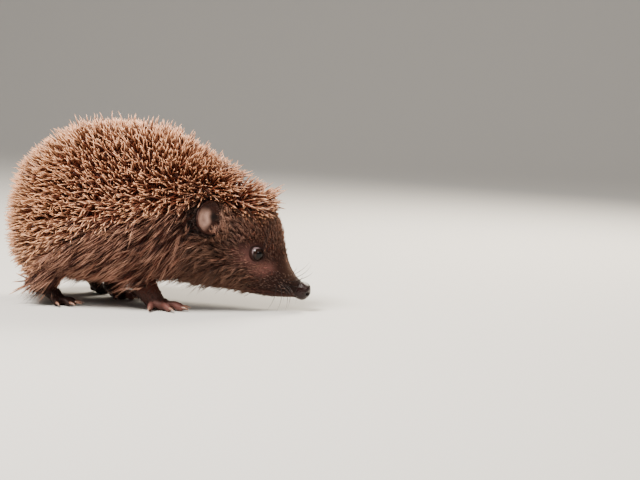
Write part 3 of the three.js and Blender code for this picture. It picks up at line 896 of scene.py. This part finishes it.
def kept_in(kind, p, whole_ways, lengths):
    """Lengths that end as high over the floor as the kind has to, and within the coat's width."""
    fall, aside = np.maximum(-whole_ways[:, 2], 0.01), np.maximum(np.abs(whole_ways[:, 1]), 0.01)
    above = np.maximum(p[:, 2] - CLEAR[kind], 0.5)
    within = np.maximum(COAT_HALF_WIDTH - p[:, 1] * np.sign(whole_ways[:, 1]), 1.0)
    return np.minimum(np.minimum(lengths, above / fall), within / aside)


HAIR_PROFILE = ([0, 0.35, 0.75, 1], [0.8, 1.0, 0.6, 0])
HAIR_STOPS = [0, 0.3, 0.72, 1]


def tufts(
    name, where, spacing, hairs, length, lean, radius, pale, spread=0.8, gather=0.35, droop=0.15,
    scatter=(8, 16), rings=3, flow=coat_flow, hem=False, dark=0.7, uneven=0.3, soon=0.55,
    tip=FUR_TIP, shade=1.0, sunk=0.4,
):
    """A piece of fur: tufts of a few hairs each, whose tips draw together.

    The hairs of a tuft start within its spread and end within the gather of it. They are pale
    towards the tip, by the share pale and as soon as soon says, and shade and dark at the root.
    With hem they are cut off at the hem's line."""
    p, n, uv = ground.roots(where, spacing)
    lie = flow(p, n)
    ways = leaning(n, lie, lean(p) if callable(lean) else lean, *scatter)
    bends = tangent(n, lie) * 0.18 - n * 0.14 + np.array([0, 0, -droop])
    lengths = length(p) if callable(length) else np.full(len(p), length)
    lengths = lengths * chance.uniform(0.7, 1.1, len(p))
    if hem:
        low = height_of(HEM, p[:, 0]) + chance.normal(0, 1.3, len(p))
        fall = np.maximum(-(ways + bends)[:, 2], 0.05)
        lengths = np.clip((p[:, 2] - low) / fall, 3.0, lengths)
    base = shade * markings(p) * uneven_by(uneven, p)
    pale = pale(p) if callable(pale) else pale
    share = np.clip(pale * chance.uniform(0.3, 1.5, len(p)), 0, 1)
    light = mix(base * 1.35, np.broadcast_to(tip, base.shape), share)
    tones = np.stack([base * dark * 0.6, base * dark, mix(base, light, soon), light], 1)
    k = np.repeat(np.arange(len(p)), hairs)
    angle, out = chance.uniform(0, 2 * pi, len(k)), spread * np.sqrt(chance.random(len(k)))
    side = tangent(n, lie)[k]
    c, s = np.cos(angle)[:, None], np.sin(angle)[:, None]
    offset = out[:, None] * (c * side + s * np.cross(n[k], side))
    part = chance.uniform(0.68, 1.0, len(k))
    far = lengths[k] * part
    stray = chance.normal(0, 0.07, (len(k), 3))
    hair_ways = ways[k] + offset * ((gather - 1) / far)[:, None] + stray
    hair_bends = bends[k] * part[:, None]
    spots = p[k] + offset - sunk * n[k]
    far = kept_in("hair", spots, hair_ways + hair_bends, far)
    radii = radius * chance.uniform(0.75, 1.15, len(k))
    return grown(
        name, strand_shape(3, rings), HAIR_PROFILE, spots, hair_ways, hair_bends, far, radii, uv[k],
        HAIR_STOPS, tones[k],
    )


# ---- the spines
def spiny(p, n):
    """Where spines grow: above the fringe on the trunk and nape, and on the crown down to the brow."""
    x, y, z = p.T
    tail = (z < 22) & (x < -62) & (np.abs(y) < 7)
    body = ramp(over_fringe(p, n), 2.3, 2.9) * fall(to_head(p)[0], 20, 22)
    return body * (1 - by_ears(p, 11.6, 0.6)) * (z > 9) * ~tail


def spines():
    """The spines of both sides. They lie back, hang on the flanks and lean forwards over the brow;
    each reaches to the outside of the coat."""
    p, n, uv = ground.roots(spiny, SPINE["spacing"])
    x, y, z = p.T
    low = fall(z - height_of(FRINGE, x), 4, 26)
    ahead = ramp(x, 0, 34)
    rump = fall(x, -66, -20)
    brow = ramp(x, 36, 48)
    back = -1.1 + 1.5 * ahead * (1 - 0.6 * low) + 0.8 * brow
    flow = np.stack([back, np.zeros(len(p)), -0.2 - 0.6 * low], -1)
    angle = (18 + 36 * low - 8 * ahead + 14 * brow) * np.clip(size_of(flow), 0, 1)
    ways = leaning(n, tangent(n, flow + 1e-4), angle, 23 - 8 * low, 68 - 40 * low)
    lengths = reach(tree, p, ways, 24) * chance.uniform(0.9, 1.07, len(p))
    lengths = np.clip(lengths, SPINE["shortest"], SPINE["longest"])
    standing_out = chance.random(len(p)) < 0.12
    more = chance.uniform(0.1, 0.36, len(p)) * ramp(x, -66, -40)
    edge = over_fringe(p, n)
    for share in (
        np.where(standing_out, 1 + more, 1), 1 - 0.12 * ramp(x, 24, 40),
        1 + 0.18 * ramp(-x, 56, 66), 0.6 + 0.4 * ramp(edge, 2, 12),
    ):
        lengths *= share
    shaft = np.tile(SPINE_SHAFT, (len(p), 1))
    # Shafts golder towards the rump; golder too where the skin faces up, which is painted light falling
    # from above.
    shaft = mix(shaft, SPINE_GOLD, 0.6 * rump + 0.25 * ramp(n[:, 2], 0.2, 0.9))
    shaft = mix(shaft, SPINE_BAND, 0.75 * (chance.random(len(p)) < 0.2)) * uneven_by(0.18, p)
    tip = mix(np.tile(SPINE_TIP, (len(p), 1)), SPINE_GOLD, 0.25 * rump + 0.1) * uneven_by(0.1, p)
    tip = layered(tip, [(shaft, 0.6 * fall(edge, 2, 9)), (shaft, 0.35 * ramp(x, 5, 25))])
    root = np.tile(SPINE_ROOT, (len(p), 1))
    band = mix(shaft, SPINE_BAND, chance.uniform(0.2, 1.0, len(p)))
    tones = np.stack([root, root, mix(root, shaft, 0.9), band, mix(shaft, tip, 0.75), tip], 1)
    stops = [0, 0.42, 0.57, 0.71, 0.86, 1]
    profile = ([0, 0.15, 0.55, 0.8, 0.93, 1], [0.6, 0.92, 1, 0.8, 0.45, 0])
    radii = SPINE["radius"] * chance.uniform(0.78, 1.12, len(p))
    bends = chance.normal(0, 0.03, p.shape)
    lengths = kept_in("spine", p, ways + bends, lengths)
    rows = p - SPINE["sunk"] * n, ways, bends, lengths, radii, uv
    made = []
    for name, half in (("spines_right", y < 0), ("spines_left", y >= 0)):
        mine = [row[half] for row in rows]
        made.append(grown(name, strand_shape(4, 7), profile, *mine, stops, tones[half]))
    return made


# ---- the fur
def side_of(where, side):
    return lambda p, n: where(p, n) * (p[:, 1] * side >= 0)


def flank(p, n):
    x, y, z = p.T
    below = fall(z - height_of(FRINGE, x), 0, 5)
    sideways = np.abs(n[:, 1])
    outer = ramp(sideways - np.maximum(0.6 * n[:, 0], -0.35 * n[:, 0]), 0.2, 0.5)
    lowest = 12.6 - 5 * ramp(-x, 36, 44) * (sideways > 0.3)
    body = (z > lowest) * (n[:, 2] > -0.8) * (1 - headness(p)) * (1 - on_ears(p, 0.3))
    return below * np.maximum(outer, (x < -62) * (z < 13)) * body


def guard_length(p):
    """Length of the flank's long hairs: longest over the hind leg, short behind it and by the ears."""
    by_place = 17 + 5 * (p[:, 0] < -30) - 17 * ramp(-p[:, 0], 55, 64)
    return by_place * (1 - 0.55 * by_ears(p, 14, 4))


def belly(p, n):
    return (p[:, 2] > 11) * (n[:, 2] < -0.35) * (1 - headness(p)) * (1 - on_ears(p, 0.3))


def throat(p, n):
    along, up, out = to_head(p)
    low = fall(up + 0.35 * np.maximum(along, 0), -4, 6)
    return headness(p) * low * fall(along, 24, 30) * (1 - on_ears(p))


def face(p, n):
    along, up, out = to_head(p)
    bare = np.maximum(fall(round_eyes(p), 4.7, 5.3), on_ears(p, 0.3))
    lip = bell(up - lip_at(along), 0.7) * (along > 25)
    crown = ramp(over_fringe(p, n), 4, 7) * fall(along, 20, 22) * (1 - by_ears(p, 12.5))
    return headness(p) * (1 - bare) * (1 - lip) * (1 - crown) * fall(along, 47.5, 49.5)


def face_length(p):
    along, up, out = to_head(p)
    lengths = ([-10, 0, 10, 20, 30, 38, 46, 50], [8.5, 7.8, 7.0, 5.8, 4.2, 2.6, 1.5, 0.8])
    low = fall(up, -14, -2)
    by_place = np.interp(along, *lengths) * (1 + 0.5 * low * fall(along, 20, 34))
    return by_place * (0.65 + 0.35 * ramp(round_eyes(p), 5.5, 9.5))


def face_lean(p):
    along, up, out = to_head(p)
    return 70 - 20 * between(along, 8, 18, 34, 44) * ramp(up, 4, 10)


def face_paleness(p):
    along = to_head(p)[0]
    by_place = 0.2 * fall(along, 26, 40) + 0.02 + 0.35 * fall(along, -14, -7)
    # No pale tips close to the ears: darker fur there, with painted shade round the ears.
    return by_place * (1 - by_ears(p, 10.5, 2))


def before_ears(p, n):
    """The cheek just ahead of the ears."""
    share = by_either_ear(p, lambda local: near_to(local, (8.8, 0, -4), (3.8, 9, 8), 0.3))
    return share * (1 - on_ears(p, 0.0)) * headness(p)


def over_ears(p, n):
    """Hair of the cheek that crosses the ear from in front."""
    return tangent(n, head_way(-1, 0) + 0.75 * head_way(0, 1))


def round_ears(p, n):
    """Hair of the ear's back, which stands up round its rim like a hood."""
    flow = np.zeros_like(p)
    for side in (-1, 1):
        near = p[:, 1] * side > 0
        local = ear_place(p, side) * [1, 0, 1]
        flow[near] = (unit(local) @ turned(side, EAR["turns"]).T)[near] + [-0.4, 0.35 * side, 0.1]
    return tangent(n, flow)


def ear_backs(p, n):
    """The rim and the outside of the ears."""
    share = on_ears(p, 0.6) * (1 - on_ears(p, -1.4))
    for side in (-1, 1):
        local, faces = ear_place(p, side) * [1, 0, 1], n @ turned(side, EAR["turns"])
        inside = (faces[:, 1] * side > 0.3) | ((faces * unit(local)).sum(1) < 0.15)
        share = np.where(inside & (p[:, 1] * side > 0), 0, share)
    return share


def whisker_pads(p, n):
    along, up, out = to_head(p)
    sides = (up > lip_at(along) + 1) * (up < 1.5) * (np.abs(n[:, 1]) > 0.3)
    return between(along, 31, 35, 45, 48) * sides


def leg_hair(p, n):
    return (p[:, 2] < 13.5) * ramp(p[:, 2], 4.5, 7.5) * (p[:, 0] < 24)


def fur():
    def lighter(p):
        # No pale tips close to the ears: darker fur there, with painted shade round the ears.
        return (0.85 - 0.3 * ramp(p[:, 0], -14, 8)) * (1 - by_ears(p, 10.5, 2))

    pieces = []
    for side, word in WORD.items():
        pieces += [
            tufts(
                f"flank_underfur_{word}", side_of(flank, side), 1.75, 6,
                lambda p: 0.72 * guard_length(p), 60, 0.14, 0.0, dark=0.22, shade=0.6, spread=1.2,
                droop=0.1, scatter=(9, 16), hem=True, tip=FUR_MIDDLE,
            ),
            tufts(
                f"flank_guard_hair_{word}", side_of(flank, side), 1.75, 3, guard_length, 58, 0.145,
                lighter, spread=0.9, gather=0.2, droop=0.06, scatter=(9, 15), hem=True, uneven=0.5,
                soon=0.6, dark=0.5,
            ),
            tufts(
                f"face_fur_{word}", side_of(face, side), 0.7, 3, face_length, face_lean, 0.13,
                face_paleness, shade=0.6, spread=0.5, gather=0.3, droop=0.06, scatter=(8, 18), rings=2,
                uneven=0.65, soon=0.8,
            ),
            tufts(
                f"cheek_fur_{word}", side_of(throat, side), 1.35, 4,
                lambda p: 12 - 5 * ramp(to_head(p)[0], 0, 24), 60, 0.13,
                # No pale tips close to the ears: darker fur there, with painted shade round the ears.
                lambda p: 0.34 * (1 - by_ears(p, 10.5, 2)), spread=0.85, gather=0.25, droop=0.2,
                scatter=(10, 20), uneven=0.65, soon=0.55, dark=0.5, shade=0.46,
            ),
        ]
    return pieces + [
        tufts(
            "muzzle_bristles", whisker_pads, 1.4, 2, 2.6, 58, 0.16, 0.9, spread=0.3, gather=1.0,
            droop=0.0, rings=2, tip=BRISTLE,
        ),
        tufts("belly_fur", belly, 2.1, 6, 8.0, 66, 0.16, 0.2, spread=1.2, droop=0.02),
        tufts(
            "ear_fur", before_ears, 0.8, 4, 7.6, 42, 0.13, 0.42, spread=0.7, droop=0.0, flow=over_ears,
            uneven=0.4,
        ),
        tufts(
            "ear_rim_fur", ear_backs, 0.8, 3, 3.4, 48, 0.13, 0.03, spread=0.5, droop=0.0, rings=2,
            flow=round_ears, sunk=0.05,
        ),
        tufts("leg_fur", leg_hair, 1.0, 4, 3.2, 66, 0.12, 0.05, spread=0.6, droop=0.0, rings=2),
    ]


# ---- whiskers, claws and eyes
def whiskers(side):
    """Fine dark hairs from the muzzle, of lengths drawn at random, and three over the eye."""
    rows = [(40 + 2.2 * k, -2.2 - 1.7 * j + 0.3 * k) for k in range(4) for j in range(3)]
    roots, ways, lengths = [], [], []
    for along, up in rows + [(26, 7.5), (27.5, 8), (25, 8.2)]:
        start = Vector(on_head(along, up, 30 * side).tolist())
        fan = chance.normal(0, 0.16, 3)
        roots.append(np.array(skin_tree.ray_cast(start, Vector((0, -side, 0)))[0]))
        ways.append(head_way(0.9, 0.45 * (up + 3.6), 0.75 * side) + fan)
        lengths.append(chance.uniform(13, 24))
    p, ways = np.array(roots), unit(np.array(ways))
    tones = np.tile(np.stack([NEAR_BLACK, NEAR_BLACK, CHOCOLATE, CHOCOLATE]), (len(p), 1, 1))
    bends = np.tile(head_way(-0.35, -0.1), (len(p), 1)) + chance.normal(0, 0.05, p.shape)
    lengths = kept_in("whisker", p, ways + bends, np.array(lengths))
    profile = ([0, 0.1, 0.6, 1], [1, 0.9, 0.5, 0])
    return grown(
        f"whiskers_{WORD[side]}", strand_shape(5, 8), profile, p - 0.5 * ways, ways, bends, lengths,
        np.full(len(p), 0.22), ground.nearest(p), HAIR_STOPS, tones,
    )


def claws(leg):
    """The five claws of a foot, narrow and curved down to a point that clears the floor."""
    kind, side = leg["kind"], leg["side"]
    roots, ways, bends = [], [], []
    for k in range(5):
        line = toe_line(leg, k)
        ahead = unit(line[3] - line[2])
        ahead = unit(np.array([ahead[0], ahead[1], 0.0]))
        roots.append(line[3] - ahead * 0.6 + [0, 0, 0.35])
        ways.append(unit(ahead + [0, 0, 0.22]))
        bends.append(np.array([0, 0, -0.36]) - ahead * 0.08)
    p = np.array(roots)
    tones = np.tile(np.stack([HORN_ROOT, HORN, HORN, HORN_TIP]), (5, 1, 1))
    profile = ([0, 0.1, 0.45, 0.8, 0.95, 1], [1, 1, 0.8, 0.42, 0.2, 0])
    thing = grown(
        f"{kind['name']}claws_{side}", strand_shape(14, 12), profile, p, np.array(ways),
        np.array(bends), np.full(5, kind["claw"] + 0.8), np.full(5, 0.82), ground.nearest(p),
        HAIR_STOPS, tones,
    )
    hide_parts(*[f"{kind['name']}claw_{side}_{k}" for k in range(1, 6)])
    return thing


def eyeball(side):
    """A dark wet ball whose front bulges. Its pale ring shows as a crescent at the back of the lids:
    the white of the eye, with a painted reflection of the light above.
    """
    eye, look = eye_of(side)
    axes = np.array(Vector(look.tolist()).to_track_quat("Z", "Y").to_matrix())

    def place(share, turn):
        deep = -np.cos(share * pi)
        ring = np.sin(share * pi)
        bulge = 1 + 0.06 * ramp(deep, 0.6, 1.0)
        local = np.stack([ring * np.cos(turn), ring * np.sin(turn), deep * bulge], -1)
        return eye + EYE_R * local @ axes.T

    mesh = globe(56, 40, place)
    p = points_of(mesh)
    middle = unit(look + 0.36 * unit(head_way(1, -0.45)))
    far = np.degrees(np.arccos(np.clip(unit(p - eye) @ middle, -1, 1)))
    paint(mesh, "eye", layered(np.tile(EYE_DARK, (len(p), 1)), [
        (EYE_BROWN, between(far, 24, 29, 42, 47)),
        (EYE_RIM, ramp(far, 46, 50)),
        (EYE_WHITE_AND_SHEEN, ramp(far, 52, 58)),
    ]))
    mesh.shade_smooth()
    thing = object_of(f"eyeball_{WORD[side]}", mesh)
    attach(thing, "root")
    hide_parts(f"eye_{WORD[side]}")
    return thing


# ---- finishes
def node(tree, kind, inputs=None, **settings):
    """A node with its settings and its inputs, each a value or the socket it comes from."""
    made = tree.nodes.new(kind)
    for key, value in settings.items():
        setattr(made, key, value)
    for key, value in (inputs or {}).items():
        if isinstance(value, bpy.types.NodeSocket):
            tree.links.new(value, made.inputs[key])
        else:
            made.inputs[key].default_value = value
    return made


def maths(tree, operation, *values):
    return node(tree, "ShaderNodeMath", dict(enumerate(values)), operation=operation).outputs[0]


def mottle_group():
    """Lighter and darker patches over a colour, from the place on the body."""
    tree = bpy.data.node_groups.new("mottle", "ShaderNodeTree")
    for label, way, kind in (
        ("Colour", "INPUT", "Color"), ("Scale", "INPUT", "Float"), ("Amount", "INPUT", "Float"),
        ("Colour", "OUTPUT", "Color"),
    ):
        tree.interface.new_socket(name=label, in_out=way, socket_type="NodeSocket" + kind)
    came = tree.nodes.new("NodeGroupInput").outputs
    left = tree.nodes.new("NodeGroupOutput").inputs
    place = node(tree, "ShaderNodeTexCoord").outputs["Object"]
    noise = node(tree, "ShaderNodeTexNoise", {"Vector": place, "Scale": came["Scale"], "Detail": 5.0})
    swing = maths(tree, "SUBTRACT", noise.outputs["Fac"], 0.5)
    gain = maths(tree, "MULTIPLY_ADD", maths(tree, "MULTIPLY", swing, came["Amount"]), 2.0, 1.0)
    scaled = node(tree, "ShaderNodeVectorMath", {0: came["Colour"], "Scale": gain}, operation="SCALE")
    tree.links.new(scaled.outputs[0], left["Colour"])
    return tree


def material(name, **uniform):
    """A new material, its tree and its shader, which has the even values on its own sockets."""
    made = bpy.data.materials.new(name)
    made.use_nodes = True
    shader = made.node_tree.nodes["Principled BSDF"]
    for key, value in uniform.items():
        shader.inputs[key.replace("_", " ")].default_value = value
    return made, made.node_tree, shader


def surface(name, attribute, scale, amount, **uniform):
    """A material whose colour is the mesh's own, mottled."""
    made, tree, shader = material(name, **uniform)
    own = node(tree, "ShaderNodeAttribute", attribute_name=attribute).outputs["Color"]
    spots = node(tree, "ShaderNodeGroup", node_tree=mottle)
    spots.inputs["Scale"].default_value, spots.inputs["Amount"].default_value = scale, amount
    tree.links.new(own, spots.inputs["Colour"])
    tree.links.new(spots.outputs["Colour"], shader.inputs["Base Color"])
    return made, tree, shader


def skin_finish():
    """Dull under the fur, smoother where it is bare, and wet on the nose, with pores and folds."""
    made, tree, shader = surface(
        "hide", "marking", 420, 0.35, Specular_IOR_Level=0.15, Coat_Roughness=0.2
    )
    place = node(tree, "ShaderNodeTexCoord").outputs["Object"]
    bare = node(tree, "ShaderNodeAttribute", attribute_name="bare").outputs["Fac"]
    wet = node(tree, "ShaderNodeAttribute", attribute_name="wet").outputs["Fac"]
    pores = node(tree, "ShaderNodeTexVoronoi", {"Vector": place, "Scale": 1500.0}, feature="SMOOTH_F1")
    folds = node(tree, "ShaderNodeTexNoise", {"Vector": place, "Scale": 900.0, "Detail": 6.0})
    height = maths(tree, "MULTIPLY_ADD", pores.outputs["Distance"], 0.6, folds.outputs["Fac"])
    bump = node(tree, "ShaderNodeBump", {"Height": height, "Strength": 0.8, "Distance": 0.0003})
    dull = maths(tree, "MULTIPLY_ADD", bare, -0.16, 0.68)
    for socket, name in (
        (bump.outputs["Normal"], "Normal"), (bump.outputs["Normal"], "Coat Normal"),
        (maths(tree, "MULTIPLY_ADD", wet, -0.32, dull), "Roughness"),
        (maths(tree, "MULTIPLY", wet, 0.2), "Coat Weight"),
    ):
        tree.links.new(socket, shader.inputs[name])
    return made


# ---- the whole animal
skin = skin_mesh()
unwrap(skin)
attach(skin, "root")
skin.data.shade_smooth()
separate = ("eye", "foreclaw", "hindclaw")
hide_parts(*[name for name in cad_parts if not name.startswith(separate)])
ground = Ground(skin.data)
tree = outer_tree()
places = points_of(skin.data)
skin_tree = BVHTree.FromPolygons(places.tolist(), [list(f.vertices) for f in skin.data.polygons])
paint(skin.data, "marking", skin_colours(places, normals_of(skin.data)))
mask(skin.data, "bare", bareness(places))
mask(skin.data, "wet", nose_pad(places, 49.8))

mottle = mottle_group()
finishes = {"skin": skin_finish()}
for slot, name, attribute, scale, amount, uniform in (
    ("spines", "spine horn", "coat", 900, 0.25, dict(Roughness=0.36, Specular_IOR_Level=0.5)),
    ("fur", "coarse hair", "coat", 900, 0.2, dict(Roughness=0.55, Specular_IOR_Level=0.3)),
    ("face_fur", "face hair", "coat", 900, 0.2, dict(Roughness=0.55, Specular_IOR_Level=0.25)),
    ("horn", "claw horn", "coat", 1400, 0.3, dict(Roughness=0.32, Coat_Weight=0.3)),
    ("eye", "wet eye", "eye", 900, 0.15, dict(
        Roughness=0.5, Specular_IOR_Level=0.0, Coat_Weight=0.35, Coat_Roughness=0.02
    )),
):
    finishes[slot] = surface(name, attribute, scale, amount, **uniform)[0]
skin.data.materials.clear()
skin.data.materials.append(finishes["skin"])
pieces = [(piece, "spines") for piece in spines()]
for piece in fur():
    pieces.append((piece, "face_fur" if piece.name.startswith(("face", "cheek", "ear")) else "fur"))
for side in (-1, 1):
    pieces += [(whiskers(side), "face_fur"), (eyeball(side), "eye")]
pieces += [(claws(leg), "horn") for leg in LEGS]
for piece, slot in pieces:
    piece.data.materials.append(finishes[slot])


# ---- floor, light and camera
def studio():
    """A pale sheet of paper as floor, which curves up behind the animal into a wall, and soft light."""
    bm = bmesh.new()
    bmesh.ops.create_grid(bm, x_segments=2, y_segments=120, size=1)
    mesh = mesh_from("floor", bm)
    near, bend = 6.0, 1.2  # metres of floor in front of the animal, and behind it up to the curve
    wall, wide = 4.0, 9.0  # height of the wall over the curve, and half the width
    p = points_of(mesh) * MM
    run = (p[:, 1] + 1) / 2 * (near + bend + wall + pi / 2)
    turn = np.clip(run - near - bend, 0, pi / 2)
    flat = np.minimum(run, near + bend) - near + np.sin(turn)
    rise = 1 - np.cos(turn) + np.maximum(run - near - bend - pi / 2, 0)
    put_points(mesh, np.stack([p[:, 0] * wide, flat, rise], -1) / MM)
    mesh.shade_smooth()
    floor = object_of("floor", mesh)
    mesh.materials.append(material("pale paper", Base_Color=(0.6, 0.58, 0.55, 1), Roughness=0.9)[0])
    world = bpy.data.worlds.new("studio")
    bpy.context.scene.world = world
    world.use_nodes = True
    sky = world.node_tree.nodes["Background"].inputs
    sky["Color"].default_value, sky["Strength"].default_value = (1.0, 0.97, 0.93, 1), 0.38


def lamp(name, place, aim, size, power, colour):
    data = bpy.data.lights.new(name, "AREA")
    data.size, data.energy, data.color = size, power, colour
    thing = object_of(name, data)
    thing.location = place
    thing.rotation_euler = (Vector(place) - Vector(aim)).to_track_quat("Z", "Y").to_euler()


def camera():
    """Stands a little ahead of the animal's right side, low, and leans so that the floor falls
    away ahead."""
    data = bpy.data.cameras.new("camera")
    data.lens, data.sensor_width = CAMERA["lens"], CAMERA["sensor"]
    thing = object_of("camera", data)
    turn, rise, roll = (radians(CAMERA[key]) for key in ("turn", "rise", "roll"))
    back = Vector((sin(turn) * cos(rise), -cos(turn) * cos(rise), sin(rise)))
    thing.location = Vector(CAMERA["aim"]) + CAMERA["far"] * back
    thing.rotation_euler = (back.to_track_quat("Z", "Y") @ Quaternion((0, 0, 1), roll)).to_euler()
    bpy.context.scene.camera = thing


studio()
for row in LAMPS:
    lamp(*row)
camera()
